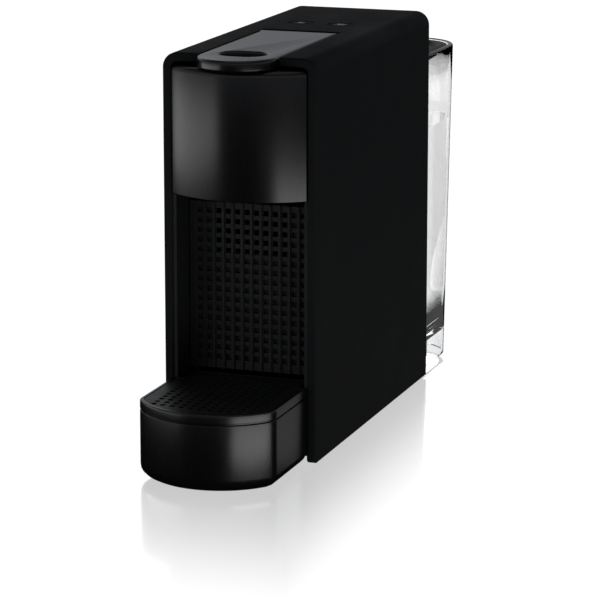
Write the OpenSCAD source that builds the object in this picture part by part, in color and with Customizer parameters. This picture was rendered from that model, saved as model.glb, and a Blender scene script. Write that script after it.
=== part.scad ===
/* [Overall] */
// Width of the outer shell
body_w = 80; // [78:1:96]
// Height of the machine above the table
body_h = 204; // [196:1:245]
// Depth of the outer shell
body_d = 190; // [184:1:230]
// How far the drip tray stands out in front of the shell
tray_out = 66; // [55:1:80]
// How far the water tank stands out behind the shell
tank_out = 74; // [62:1:89]

/* [Shell] */
// Wall of the outer shell
shell_wall = 2.5; // [2.1:0.1:3]
// Width of the flat rim around the shell's mouth
rim_w = 4.5; // [3.8:0.1:5.4]
// Radius of the two long top edges
edge_r = 7.5; // [6.3:0.1:9]
// Gap between the shell and the table
floor_gap = 1.5; // [1.3:0.1:1.8]

/* [Head] */
// Height of the head's lower edge above the table
head_z = 133.5; // [128:0.5:140]
// How far the head bulges in front of the shell
head_bulge = 13.5; // [11.3:0.1:16.2]
// Wall of the head cover and of the other inner mouldings
moulding = 2.2; // [1.9:0.1:2.6]

/* [Lever] */
// Width of the lever
lever_w = 41; // [36:0.5:42]
// Thickness of the lever at its edge
lever_t = 5.5; // [4.6:0.1:5.6]
// How far the lever reaches in front of the shell
lever_out = 20; // [17:0.5:24]
// Distance from the shell's mouth to the lever's hinge
hinge_y = 89; // [87:0.5:92]
// Depth of the hinge below the top face
hinge_drop = 5.5; // [5.3:0.1:6]
// Lever travel in degrees
lever_angle = 85; // [80:1:88]

/* [Brewing] */
// Height of the capsule's axis below the hinge
chamber_drop = 36.5; // [35:0.5:40]
// Inner radius of the capsule cage
cage_r = 15.6; // [15:0.1:16.5]
// Travel of the capsule cage
cage_travel = 30; // [27:0.5:30.5]

/* [Drip tray and capsule container] */
// Height of the drip tray's top above the table
tray_h = 40; // [34:0.5:48]
// Height of the cup support's rim
rim_h = 4.5; // [3.8:0.1:5.4]
// Sagitta of the drip tray's curved front
tray_bow = 20; // [17:0.5:24]
// Pitch of the slots in the grids
grid_pitch = 5; // [4.2:0.1:6]

/* [Water tank] */
// Width of the water tank
tank_w = 76; // [64:1:76]
// Height of the tank's rim above the table
tank_top = 179; // [150:1:195]
// Wall of the clear tank
tank_wall = 2.7; // [2.3:0.1:3.2]
// Radius of the tank's two rear corners
tank_r = 25; // [21:0.5:30]

/* [Buttons] */
// Distance between the two button centres
button_gap = 22; // [19:0.5:26]
// Width of each button
button_w = 13; // [11:0.5:15.5]
// Travel of each button
button_travel = 1.2; // [1:0.1:1.4]

/* [Fits] */
// Gap between pieces that slide past or sit beside each other
gap = 0.3; // [0.25:0.05:0.36]
// Radial clearance of a shaft in its bearing
run_fit = 0.05; // [0.04:0.01:0.06]

/* [Hidden] */
$fn = 64;

// Places along Y: the whole machine is centred on the origin
total_d = tray_out + body_d + tank_out;
yf = -total_d / 2 + tray_out;          // mouth of the shell
yr = yf + body_d;                      // rear edge of the shell
// Shell
inner_w = body_w - 2 * shell_wall;
mouth_w = body_w - 2 * rim_w;
skin_z = body_h - shell_wall;          // underside of the shell's top
rim_depth = 6;
panel_t = 3;
vent_w = 48;
vent_count = 10;
vent_z = body_h - 84;                  // lowest cooling slot in the rear panel
boss_r = 3.6;
screw_r = 1.4;
hole_r = 1.55;
// Lever and brewing group
hinge_z = body_h - hinge_drop;
axis_y = yf + hinge_y;
shaft_r = 1.8;
lever_slot_w = lever_w + 1;
cheek_t = 3;
cheek_x = lever_w / 2 + 1.5;           // inner face of the frame's cheeks
pin_drop = 10;                         // drive pin below the hinge
pin_r = 1.6;
pin_near = 4;                          // pin to hinge along Y, lever up
pin_far = pin_near + cage_travel;      // pin to hinge along Y, lever down
cam_x = 9.2;                           // inner face of each cam plate
cam_t = 2.6;
cam_rim = 2.4;
cam_steps = 32;
pin_y = axis_y - pin_far;
pin_z = hinge_z - pin_drop;
chamber_z = hinge_z - chamber_drop;
cage_len = 30;
cage_wall = 3;
cage_lip = 4.9;
cage_y = pin_y - 7 - cage_len;         // open end of the cage, lever down
plate_y = cage_y - 4;                  // front face of the piercing plate
plate_t = 2.5;
frame_front = plate_y - 4;
frame_z = head_z + moulding + 6;
// Recess and drip tray
liner_x = mouth_w / 2 - 0.1;
liner_t = 1.8;
rail_h = 12;
base_z = 3;
base_t = 3;
tray_side = mouth_w / 2 - 0.1;
inner_side = liner_x - liner_t - 2 * gap - 1.5;
tray_back = yf + 88;
tray_wall = 2.4;
seam = 0.8;
tray_r = (tray_side * tray_side + tray_bow * tray_bow) / (2 * tray_bow);
support_back = yf + 15.5;
// Capsule container
bin_x = liner_x - liner_t - 2 * gap;
bin_front = yf + 17;
bin_z = tray_h + 1.5;
bin_top = head_z - 6.5;
bin_t = 1.8;
grille_t = 2.8;
// Tank
dock_w = 56;
dock_d = 34;
dock_top = 16;
dock_t = 2.5;
tank_y0 = yr + 0.5;
tank_y1 = yr + tank_out;
tank_floor = dock_top + 1;
tank_foot = 2.5;
lid_t = 6.5;
lid_sunk = 0.6;
valve_y = yr + 18;
valve_r = 6;
// Inner parts
board_t = 1.6;
boiler_r = 27;
boiler_x = 6;
boiler_y = yr - 46;
boiler_z = frame_z - 12;
boiler_h = 44;
pump_x = 12;
pump_z = 66;
pump_y = yr - 88;
hose_r = 2;
meter_x = -15.5;
meter_y = yr - 28;
meter_r = 13;
meter_z = base_z + base_t + 6;
button_y = yf + 124;
button_d = button_w * 0.72;
button_r = 2.5;
gland_y = yr - 22;
gland_z = 22;
gland_r = 6;
cord_r = 3.4;
foot_w = 5;
foot_l = 16;
foot_x = inner_w / 2 - gap - foot_w / 2;
foot_y = [yf + 15, yr - 22];
spout_y = yf - 3;
spout_top = frame_z;
outlet_r = 1.5;
stem_drop = 7.8;                       // top of the switches below the skin
board_drop = 11.9;                     // top of the button board below the skin
post_x = button_gap / 2 + 10;
crossbar_z = hinge_z - 37;
hose_z = frame_z - 4.2;
socket_port_z = base_z + 7;

// Round a flat outline's corners: rectangle of w by d with corner radius r
module round_rect(w, d, r) {
    square([w - 2 * r, d], center = true);
    square([w, d - 2 * r], center = true);
    for (x = [-1, 1], y = [-1, 1]) translate([x * (w / 2 - r), y * (d / 2 - r)]) circle(r);
}

// Carry an X-Z outline along Y from y0 for a given length
module along_y(y0, length) {
    translate([0, y0 + length, 0]) rotate([90, 0, 0]) linear_extrude(length) children();
}

// Carry a Y-Z outline along X from x0 for a given length
module along_x(x0, length) {
    translate([x0, 0, 0]) rotate([90, 0, 90]) linear_extrude(length) children();
}

// A box from its lowest and highest corners
module block(low, high) {
    translate(low) cube(high - low);
}

// Arch outline: flat foot at z0, round shoulders at height h
module arch(w, z0, h, r) {
    translate([-w / 2, z0]) square([w, h - z0 - r]);
    translate([-w / 2 + r, z0]) square([w - 2 * r, h - z0]);
    for (s = [-1, 1]) translate([s * (w / 2 - r), h - r]) circle(r);
}

// A solid hose through a list of points, with slightly fuller ball corners
module hose(points, r) {
    for (i = [1 : len(points) - 1]) {
        run = points[i] - points[i - 1];
        length = norm(run);
        tilt = acos(run[2] / length);
        turn = atan2(run[1], run[0]);
        translate(points[i - 1]) rotate([0, tilt, turn]) cylinder(h = length, r = r);
        if (i < len(points) - 1) translate(points[i]) sphere(r * 1.12);
    }
}

// Four screw places on the rear panel
panel_screw_x = inner_w / 2 - boss_r - 0.5;
panel_screws = [for (x = [-1, 1], z = [46, body_h - 16]) [x * panel_screw_x, z]];
// Screws that hold the base plate to the rear panel, and the brewing frame to the shell
base_screw_x = inner_w / 2 - 5;
base_screw_y = yr - 7;
frame_screw_y = frame_front + 8;
bracket_h = 7;

module outer_shell() color("#141518") {
    difference() {
        along_y(yf, body_d) arch(body_w, floor_gap, body_h, edge_r);
        along_y(yf + rim_depth, body_d) arch(inner_w, 0, skin_z, edge_r - shell_wall);
        along_y(yf - 1, rim_depth + 2) arch(mouth_w, 0, body_h - rim_w, edge_r - rim_w);
        block([-lever_slot_w / 2, yf - 1, skin_z - 4],
              [lever_slot_w / 2, axis_y + hinge_drop + 0.4, body_h + 1]);
        for (s = [-1, 1]) translate([s * button_gap / 2, button_y, skin_z - 1])
            linear_extrude(shell_wall + 2) round_rect(button_w, button_d, button_r);
        translate([-body_w / 2 - 1, gland_y, gland_z]) rotate([0, 90, 0]) cylinder(h = 6, r = gland_r + 0.2);
    }
    for (p = panel_screws) difference() {
        panel_boss(p);
        translate([p[0], yr - panel_t - 13, p[1]]) rotate([-90, 0, 0]) cylinder(h = 14, r = screw_r + 0.02);
    }
    for (s = [-1, 1]) translate([s * post_x, button_y, skin_z - board_drop])
        cylinder(h = board_drop + 0.5, r = 1.8);
}

// A screw boss that reaches the side wall
module panel_boss(p) {
    side = p[0] > 0 ? 1 : -1;
    y0 = yr - panel_t - gap - 12;
    translate([p[0], y0, p[1]]) rotate([-90, 0, 0]) cylinder(h = 12, r = boss_r);
    reach = inner_w / 2 + 0.5 - panel_screw_x;
    translate([side > 0 ? p[0] : p[0] - reach, y0, p[1] - 1.5]) cube([reach, 12, 3]);
}

head_r = (pow(mouth_w / 2 - gap, 2) + head_bulge * head_bulge) / (2 * head_bulge);
head_top = body_h - lever_t - gap;

// Plan of the head, its front an arc, set in by a wall
module head_plan(inset, back) {
    half = mouth_w / 2 - gap - inset;
    intersection() {
        translate([0, yf - head_bulge + head_r]) circle(head_r - inset, $fn = 128);
        translate([-half, yf - head_bulge - 1]) square([2 * half, head_bulge + 1 + back]);
    }
}

module head_cover() color("#0a0a0c") difference() {
    intersection() {
        translate([0, 0, head_z]) linear_extrude(head_top - head_z) head_plan(0, 7);
        along_y(yf - head_bulge - 1, head_bulge + 9)
            arch(mouth_w - 2 * gap, 0, body_h - rim_w - gap, edge_r - rim_w);
    }
    translate([0, 0, head_z + moulding]) linear_extrude(head_top - head_z - 2 * moulding)
        head_plan(moulding, 9);
    translate([0, spout_y, head_z - 1]) cylinder(h = 6, r = 7.5);
}

module base_plate() color("#17181a") {
    uprights = [pump_y + 5, pump_y + 59];
    difference() {
        union() {
            block([-inner_w / 2 + gap, tray_back + 3, base_z],
                  [inner_w / 2 - gap, yr - panel_t - gap, base_z + base_t]);
            for (s = [-1, 1]) mirror([s < 0 ? 1 : 0, 0, 0])
                block([inner_side + gap + 0.5, yf + rim_depth + gap, base_z],
                      [inner_w / 2 - gap, tray_back + 3, rail_h]);
            block([-inner_w / 2 + gap, yr - panel_t - gap, base_z], [inner_w / 2 - gap, yr, base_z + base_t]);
            block([-dock_w / 2, yr - panel_t - gap, base_z], [dock_w / 2, yr + dock_d, dock_top]);
            for (y = uprights) block([pump_x - 13, y, base_z], [pump_x + 13, y + 3, pump_z + 12]);
        }
        block([dock_t - dock_w / 2, yr + 0.5, base_z - 1],
              [dock_w / 2 - dock_t, yr + dock_d - dock_t, dock_top - dock_t]);
        for (y = uprights)
            translate([pump_x, y - 1, pump_z]) rotate([-90, 0, 0]) cylinder(h = 5, r = 9);
        translate([0, valve_y, 0]) cylinder(h = dock_top + 1, r = 8.3);
        translate([0, yr - 8, socket_port_z]) rotate([-90, 0, 0]) cylinder(h = 12, r = hose_r + gap);
        for (s = [-1, 1]) translate([s * base_screw_x, base_screw_y, 0]) cylinder(h = rail_h, r = hole_r);
    }
}

module rear_panel() color("#17181a") difference() {
    union() {
        along_y(yr - panel_t, panel_t)
            arch(inner_w - 2 * gap, dock_top + 1, skin_z - gap, edge_r - shell_wall - gap);
        for (s = [-1, 1]) mirror([s < 0 ? 1 : 0, 0, 0])
            block([dock_w / 2 + gap, yr - 11, base_z + base_t], [inner_w / 2 - 2 * gap, yr, dock_top + 2]);
    }
    for (p = panel_screws) translate([p[0], yr - panel_t - 1, p[1]]) rotate([-90, 0, 0]) {
        cylinder(h = panel_t + 2, r = hole_r);
        translate([0, 0, panel_t - 1]) cylinder(h = 3, r = 2.8);
    }
    for (s = [-1, 1]) translate([s * base_screw_x, base_screw_y, 0]) cylinder(h = 15, r = screw_r + 0.02);
    for (i = [0 : vent_count - 1])
        block([-vent_w / 2, yr - panel_t - 1, vent_z + i * grid_pitch],
              [vent_w / 2, yr + 1, vent_z + i * grid_pitch + 2.4]);
}

module recess_liner() color("#101113") {
    wall_top = head_z - gap;
    for (s = [-1, 1]) mirror([s < 0 ? 1 : 0, 0, 0])
        block([liner_x - liner_t, yf + 1, rail_h + gap], [liner_x, tray_back + 4, wall_top]);
    block([-liner_x, tray_back + 2.4, rail_h + gap], [liner_x, tray_back + 4, wall_top]);
}

module rubber_feet() color("#0c0c0c") for (s = [-1, 1], y = foot_y)
    translate([s * foot_x, y, 0]) linear_extrude(base_z) round_rect(foot_w, foot_l, foot_w / 2 - 0.01);

// A pan-head screw: axis along +Z, head on top
module screw(length) {
    cylinder(h = length, r = screw_r);
    translate([0, 0, length]) difference() {
        cylinder(h = 1.8, r = 2.6);
        translate([0, 0, 0.9]) cylinder(h = 1, r = 1, $fn = 6);
    }
}

module rear_panel_screws() color("#8a8d90") for (p = panel_screws)
    translate([p[0], yr - 12.9, p[1]]) rotate([-90, 0, 0]) screw(11);

module base_screws() color("#8a8d90") for (s = [-1, 1])
    translate([s * base_screw_x, base_screw_y, base_z + 10]) rotate([180, 0, 0]) screw(10);

module cord_gland() color("#0c0c0c")
    translate([-body_w / 2 + 0.1, gland_y, gland_z]) rotate([0, 90, 0]) difference() {
        union() {
            cylinder(h = 10, r = gland_r);
            translate([0, 0, shell_wall + 0.3]) cylinder(h = 2.5, r = gland_r + 2);
        }
        translate([0, 0, -1]) cylinder(h = 12, r = cord_r);
    }

frame_top = skin_z - gap;
ear_r = frame_top - hinge_z;
slot_h = 6;

module brew_frame() color("#2a2c2f") {
    difference() {
        union() {
            for (s = [-1, 1]) mirror([s < 0 ? 1 : 0, 0, 0]) {
                block([cheek_x, frame_front, frame_z], [cheek_x + cheek_t, axis_y + 9, hinge_z]);
                translate([cheek_x, axis_y, hinge_z]) rotate([0, 90, 0]) cylinder(h = cheek_t, r = ear_r);
                block([cheek_x + cheek_t - 0.01, frame_screw_y - 4, frame_z],
                      [inner_w / 2 - gap, frame_screw_y + 4, frame_z + 4]);
            }
            block([-cheek_x - 0.01, frame_front, frame_z], [cheek_x + 0.01, plate_y, chamber_z + 20]);
            block([-cheek_x - 0.01, axis_y + 6, crossbar_z], [cheek_x + 0.01, axis_y + 9, crossbar_z + 10]);
            block([-6, spout_y - 6, frame_z], [6, frame_front + 0.01, frame_z + 9]);
        }
        for (s = [-1, 1])
            block([s * (cheek_x + cheek_t / 2) - cheek_t, cage_y + 6, chamber_z - slot_h / 2],
                  [s * (cheek_x + cheek_t / 2) + cheek_t, axis_y + 4, chamber_z + slot_h / 2]);
        translate([-cheek_x - cheek_t - 1, axis_y, hinge_z]) rotate([0, 90, 0])
            cylinder(h = 2 * cheek_x + 2 * cheek_t + 2, r = shaft_r + run_fit);
        translate([0, frame_front + 1, chamber_z]) rotate([-90, 0, 0]) cylinder(h = 6, r = 13);
        translate([0, spout_y, frame_z + 5]) rotate([-90, 0, 0])
            cylinder(h = plate_y - spout_y + 1, r = outlet_r);
        translate([0, spout_y, frame_z - 1]) cylinder(h = 6 + outlet_r, r = outlet_r);
        for (s = [-1, 1]) translate([s * base_screw_x, frame_screw_y, frame_z - 1])
            cylinder(h = 6, r = hole_r);
    }
}

// Two blocks on the shell's side walls that carry the brewing frame
module frame_brackets() color("#8a8d90") for (s = [-1, 1]) difference() {
    mirror([s < 0 ? 1 : 0, 0, 0])
        block([base_screw_x - 3, frame_screw_y - 4, frame_z - bracket_h],
              [inner_w / 2, frame_screw_y + 4, frame_z]);
    translate([s * base_screw_x, frame_screw_y, frame_z - bracket_h - 1])
        cylinder(h = bracket_h + 2, r = screw_r + 0.02);
}

module frame_screws() color("#8a8d90") for (s = [-1, 1])
    translate([s * base_screw_x, frame_screw_y, frame_z - 4]) screw(8);

module piercing_plate() color("#b9bcc0") {
    along_y(plate_y, plate_t) difference() {
        translate([0, chamber_z]) circle(18.5);
        for (i = [-2 : 2], j = [-2 : 2]) translate([i * 5, chamber_z + j * 5]) circle(0.7, $fn = 16);
    }
}

module outlet_spout() color("#17181a") translate([0, spout_y, 0]) difference() {
    union() {
        translate([0, 0, head_z + moulding + 0.5]) cylinder(h = spout_top - head_z - moulding - 0.5, r = 6);
        translate([0, 0, head_z + 0.5]) cylinder(h = moulding + 1, r = 4.2);
    }
    translate([0, 0, head_z - 1]) cylinder(h = 20, r = 2.2);
}

chute_y = plate_y + plate_t + 0.5;
chute_back = axis_y - norm([pin_far, pin_drop]) - pin_r - cam_rim - run_fit - 1;
chute_x = cheek_x - gap;
chute_z = chamber_z + cage_r + cage_lip + 1.2;

module capsule_chute() color("#202124") difference() {
    block([-chute_x, chute_y, chute_z], [chute_x, chute_back, body_h - lever_t - 2 * gap]);
    block([-18.7, chute_y + 1.8, chute_z - 1], [18.7, chute_back - 1.8, body_h]);
}

module thermoblock() color("#9a9da0") translate([boiler_x, boiler_y, boiler_z]) {
    difference() {
        cylinder(h = boiler_h, r = boiler_r);
        translate([0, 0, boiler_h - 12]) cylinder(h = 13, r = boiler_r - 9);
    }
    for (a = [-30, -150]) rotate(a) translate([boiler_r - 5, 0, boiler_h]) cylinder(h = 9, r = 2.2);
    for (a = [0 : 60 : 300]) rotate(a) translate([boiler_r - 1, -1, 4]) cube([3, 2, boiler_h - 8]);
}

module boiler_bracket() color("#a9acb0") difference() {
    union() {
        block([boiler_x - 20, boiler_y - 10, boiler_z - 1.5], [boiler_x + 20, yr - panel_t, boiler_z]);
        block([boiler_x - 20, yr - panel_t - 1.5, boiler_z - 20], [boiler_x + 20, yr - panel_t, boiler_z]);
    }
    translate([boiler_x, boiler_y, boiler_z - 2]) cylinder(h = 3, r = hose_r + gap);
}

module thermal_fuse() color("#d8d8d2")
    translate([boiler_x, boiler_y, boiler_z + boiler_h - 12]) {
        cylinder(h = 5, r = 7);
        for (x = [-4, 4]) translate([x - 1.5, -0.4, 5]) cube([3, 0.8, 6]);
    }

module vibration_pump() color("#b07a3a") {
    translate([pump_x, pump_y, pump_z]) rotate([-90, 0, 0]) {
        cylinder(h = 68, r = 6);
        translate([0, 0, 68]) cylinder(h = 4, r = 3.5);
        translate([0, 0, 13]) cylinder(h = 42, r = 9.2);
    }
    block([pump_x - 17, pump_y + 14, pump_z - 17], [pump_x + 17, pump_y + 54, pump_z + 19]);
}

module pump_mounts() color("#151515") for (y = [pump_y + 5, pump_y + 59])
    translate([pump_x, y - 2, pump_z]) rotate([-90, 0, 0]) difference() {
        union() {
            cylinder(h = 7, r = 8.9);
            cylinder(h = 1.8, r = 11);
            translate([0, 0, 5.2]) cylinder(h = 1.8, r = 11);
        }
        translate([0, 0, -1]) cylinder(h = 9, r = 6.05);
    }

module flow_meter_cup() color("#e8e8e4") translate([meter_x, meter_y, meter_z]) {
    difference() {
        cylinder(h = 12, r = meter_r);
        translate([0, 0, 2]) cylinder(h = 11, r = meter_r - 2);
    }
    translate([0, 0, 1.5]) cylinder(h = 7.5, r = 1);
    for (a = [90, 270]) rotate(a) translate([meter_r - 0.5, 0, 7]) rotate([0, 90, 0]) cylinder(h = 6, r = 2);
    for (a = [45 : 90 : 315]) rotate(a) translate([meter_r - 3, 0, base_t + base_z - meter_z])
        cylinder(h = 6, r = 2);
}

module flow_meter_cover() color("#c8c8c4") translate([meter_x, meter_y, meter_z + 12])
    cylinder(h = 3, r = meter_r);

module flow_impeller() color("#3465a0") translate([meter_x, meter_y, meter_z + 2.5]) difference() {
    union() {
        cylinder(h = 6.5, r = 3.2);
        for (a = [0 : 60 : 300]) rotate(a) translate([2, -0.6, 0]) cube([meter_r - 5, 1.2, 6]);
    }
    translate([0, 0, -1]) cylinder(h = 9, r = 1 + run_fit);
}

module control_board() color("#1f5a38") {
    board_x = -inner_w / 2 + 4;
    part_x = board_x + board_t;
    foot_z = body_h - 108;
    block([board_x, yr - 82, foot_z], [part_x, yr - 22, foot_z + 74]);
    block([part_x, yr - 78, foot_z + 4], [part_x + 9.4, yr - 62, foot_z + 20]);
    block([part_x, yr - 40, foot_z + 8], [part_x + 7.4, yr - 28, foot_z + 22]);
    translate([part_x, yr - 70, foot_z + 34]) rotate([0, 90, 0]) cylinder(h = 8, r = 4);
}

module button_board() color("#1f5a38")
    block([-post_x - 3, button_y - 9, skin_z - board_drop - board_t],
          [post_x + 3, button_y + 9, skin_z - board_drop]);

module button_switches() color("#303236") for (s = [-1, 1]) translate([s * button_gap / 2, button_y, 0]) {
    block([-3, -3, skin_z - board_drop], [3, 3, skin_z - stem_drop - 0.8]);
    translate([0, 0, skin_z - stem_drop - 0.8]) cylinder(h = 0.8, r = 1.6);
}

module tank_socket() color("#17181a") translate([0, valve_y, 0]) {
    difference() {
        translate([0, 0, base_z]) cylinder(h = dock_top - base_z, r = 8);
        translate([0, 0, base_z + 2.5]) cylinder(h = dock_top, r = 5);
    }
    translate([0, 0, base_z + 2]) cylinder(h = dock_top - base_z - 2.5, r = 1.2);
    translate([0, -7.5, socket_port_z]) rotate([90, 0, 0]) cylinder(h = 6.5, r = hose_r);
}

module socket_seal() color("#c9c9c9") translate([0, valve_y, dock_top - 3]) difference() {
    cylinder(h = 3, r = 4.95);
    translate([0, 0, -1]) cylinder(h = 5, r = 3.4);
}

module suction_hose() color("#dcdcd6") {
    port_y = meter_y + meter_r + 5.5;
    hose([[0, valve_y - 14, socket_port_z], [0, port_y + 3, socket_port_z],
          [meter_x, port_y + 3, meter_z + 7], [meter_x, port_y, meter_z + 7]], hose_r);
}

module meter_hose() color("#dcdcd6") hose([[meter_x, meter_y - meter_r - 5.5, meter_z + 7],
    [meter_x, pump_y - 5, meter_z + 7], [pump_x, pump_y - 5, pump_z], [pump_x, pump_y, pump_z]], hose_r);

module pressure_hose() color("#e6e6e0") hose([[pump_x, pump_y + 72, pump_z], [pump_x, yr - 9, pump_z],
    [pump_x, yr - 9, boiler_z - 24], [boiler_x, boiler_y, boiler_z - 24],
    [boiler_x, boiler_y, boiler_z]], hose_r);

module boiler_hose() color("#e6e6e0") {
    port_r = boiler_r - 5;
    port = [boiler_x + port_r * cos(210), boiler_y + port_r * sin(210), boiler_z + boiler_h + 9];
    loop_y = axis_y + 16;
    hose([[0, pin_y + 10, hose_z + 4.5], [0, pin_y + 10, hose_z], [0, loop_y, hose_z],
          [port[0], loop_y, port[2] + 2.5], port + [0, 0, 2.5], port], hose_r);
}

module cage_hose() color("#e6e6e0")
    hose([[0, pin_y + 5, chamber_z - 5], [0, pin_y + 10, chamber_z - 5],
          [0, pin_y + 10, hose_z + 4.8]], hose_r);

// Centre line of the cam slot in the lever's frame: the drive pin's straight path turned back by the lever
function cam_point(t) =
    let (a = lever_angle * t, y = -(pin_far - cage_travel * t), z = -pin_drop)
    [y * cos(a) - z * sin(a), y * sin(a) + z * cos(a)];
function cam_normal(t) =
    let (d = cam_point(t + 0.001) - cam_point(t - 0.001)) [-d[1], d[0]] / norm(d);
function arc_points(centre, r, from, sweep, n) =
    [for (i = [0 : n]) centre + r * [cos(from + sweep * i / n), sin(from + sweep * i / n)]];
function heading(v) = atan2(v[1], v[0]);
function cam_side(offset) =
    [for (i = [0 : cam_steps]) cam_point(i / cam_steps) + offset * cam_normal(i / cam_steps)];
function back_to_front(v) = [for (i = [len(v) - 1 : -1 : 0]) v[i]];

// The slot's outline: two offset sides and a round end at each
function cam_slot(half) = concat(cam_side(-half),
    arc_points(cam_point(1), half, heading(-cam_normal(1)), 180, 12),
    back_to_front(cam_side(half)),
    arc_points(cam_point(0), half, heading(cam_normal(0)), 180, 12));

// The plate's outline: one offset side below the slot, a hub above it and a flat top edge
function cam_outline(half) = concat(cam_side(-half),
    arc_points(cam_point(1), half, heading(-cam_normal(1)), 120, 10),
    arc_points([0, 0], 3.8, 10, 80, 8),
    [[-5, 2], [-6.5, 0.9], [-pin_far - half, 0.9], [-pin_far - half, -pin_drop]]);

module cam_plate() along_x(cam_x, cam_t) translate([axis_y, hinge_z]) difference() {
    polygon(cam_outline(pin_r + gap + cam_rim));
    polygon(cam_slot(pin_r + gap));
    circle(shaft_r + 0.02);
}

module cam_plate_left() color("#a9acb0") mirror([1, 0, 0]) cam_plate();
module cam_plate_right() color("#a9acb0") cam_plate();

// Plan of the lever: straight sides and a round nose
module lever_plan(inset) {
    r = lever_w / 2 - inset;
    nose_y = yf - lever_out + lever_w / 2;
    translate([-r, nose_y]) square([2 * r, axis_y - nose_y]);
    translate([0, nose_y]) circle(r, $fn = 96);
}

finger_w = 24;
finger_d = 19;
finger_y = yf + 6.7;

module lever() color("#08080a") difference() {
    union() {
        translate([0, 0, body_h - lever_t]) linear_extrude(lever_t) lever_plan(0);
        translate([-lever_w / 2, axis_y, hinge_z]) rotate([0, 90, 0]) cylinder(h = lever_w, r = hinge_drop);
    }
    intersection() {
        translate([0, 0, body_h - lever_t - 1]) linear_extrude(lever_t - 2) lever_plan(2.5);
        block([-lever_w, yf + 24, 0], [lever_w, axis_y - hinge_drop - 2, body_h]);
    }
    translate([0, finger_y, body_h - lever_t - 1]) linear_extrude(lever_t + 2)
        round_rect(finger_w, finger_d, finger_d / 2 - 0.01);
    for (s = [-1, 1]) mirror([s < 0 ? 1 : 0, 0, 0])
        block([cam_x - 0.05, axis_y - pin_far - 6, hinge_z - 9],
              [cam_x + cam_t + 0.05, axis_y + 9, body_h - 1.5]);
    translate([-lever_w, axis_y, hinge_z]) rotate([0, 90, 0]) cylinder(h = 2 * lever_w, r = shaft_r + 0.02);
}

module lever_shaft() color("#c4c6c9") translate([-cheek_x - cheek_t, axis_y, hinge_z]) rotate([0, 90, 0])
    cylinder(h = 2 * (cheek_x + cheek_t), r = shaft_r);

// Everything on the cage is turned about its axis, which runs along Y
module on_cage(y) {
    translate([0, y, chamber_z]) rotate([-90, 0, 0]) children();
}

module capsule_cage() color("#b9bcc0") difference() {
    union() {
        on_cage(cage_y) cylinder(h = 8, r = cage_r + cage_lip);
        on_cage(cage_y) cylinder(h = cage_len, r = cage_r + cage_wall);
    }
    on_cage(cage_y - 1) cylinder(h = cage_len - 2.5, r = cage_r);
    on_cage(cage_y + 1) cylinder(h = cage_len, r = 2);
}

module cage_seal() color("#d6d2c8") on_cage(cage_y - 1.2) difference() {
    cylinder(h = 1.2, r = cage_r + cage_lip - 1);
    translate([0, 0, -1]) cylinder(h = 4, r = cage_r + 0.3);
}

module injection_needles() color("#d0d2d5") for (a = [90, 210, 330])
    on_cage(cage_y + cage_len - 3.5 - 5) rotate(a) translate([7, 0, 0]) cylinder(h = 5, r1 = 0.2, r2 = 1);

module cage_carriage() color("#2a2c2f") difference() {
    union() {
        block([-8, cage_y + cage_len, chamber_z - 9], [8, pin_y + 5, chute_z - 1]);
        block([-8, pin_y - 5, chamber_z], [8, pin_y + 5, pin_z - 2]);
        along_x(-8, 16) translate([pin_y, pin_z - 2]) circle(5);
    }
    translate([-10, pin_y, pin_z]) rotate([0, 90, 0]) cylinder(h = 20, r = pin_r + 0.02);
}

module cage_shoes() color("#e0ddd2") difference() {
    for (s = [-1, 1]) mirror([s < 0 ? 1 : 0, 0, 0])
        block([cage_r, cage_y + 10, chamber_z - slot_h / 2 + 0.15],
              [cheek_x + cheek_t - 0.3, cage_y + cage_len - 4, chamber_z + slot_h / 2 - 0.15]);
    on_cage(cage_y) cylinder(h = cage_len, r = cage_r + cage_wall);
}

module drive_pin() color("#c4c6c9")
    translate([-cam_x - cam_t - 0.6, pin_y, pin_z]) rotate([0, 90, 0])
        cylinder(h = 2 * (cam_x + cam_t + 0.6), r = pin_r);

// A button: cap, retaining flange and stem
module button(x) translate([x, button_y, 0]) {
    translate([0, 0, skin_z - gap]) linear_extrude(shell_wall + gap)
        round_rect(button_w - 2 * gap, button_d - 2 * gap, button_r - gap);
    translate([0, 0, skin_z - 1.8]) linear_extrude(1.5) round_rect(button_w + 2, button_d + 2, button_r);
    translate([0, 0, skin_z - stem_drop + button_travel + gap])
        cylinder(h = stem_drop - 0.8 - button_travel - gap, r = 2.2);
}

module button_small_cup() color("#141518") button(-button_gap / 2);
module button_large_cup() color("#141518") button(button_gap / 2);

// Plan of the drip tray: curved nose outside the shell, narrower tail inside it
module tray_plan(inset, back) {
    intersection() {
        translate([0, yf - tray_out + tray_r]) circle(tray_r - inset, $fn = 128);
        translate([-tray_side + inset, yf - tray_out]) square([2 * (tray_side - inset), tray_r]);
    }
    nose_back = yf - tray_out + tray_r - 1;
    translate([-tray_side + inset, nose_back])
        square([2 * (tray_side - inset), yf - gap - inset - nose_back]);
    translate([-inner_side + inset, nose_back]) square([2 * (inner_side - inset), back - inset - nose_back]);
}

module drip_base() color("#0a0a0c") difference() {
    union() {
        translate([0, 0, 1]) linear_extrude(tray_h - rim_h - seam - 1) tray_plan(0, tray_back);
        block([-inner_side, bin_front, 3], [inner_side, tray_back, bin_z - 0.2]);
    }
    translate([0, 0, 3]) linear_extrude(tray_h) tray_plan(tray_wall, tray_back);
}

module cup_support() color("#0a0a0c") translate([0, 0, tray_h - rim_h - seam]) difference() {
    union() {
        translate([0, 0, seam]) linear_extrude(rim_h) tray_plan(0, support_back);
        linear_extrude(seam + 1) tray_plan(1, support_back);
    }
    translate([0, 0, -1]) linear_extrude(rim_h + 4) tray_plan(tray_wall + 1.6, support_back);
    translate([0, 0, rim_h + seam - 2.4]) linear_extrude(4) tray_plan(tray_wall - 0.4, support_back);
}

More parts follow.
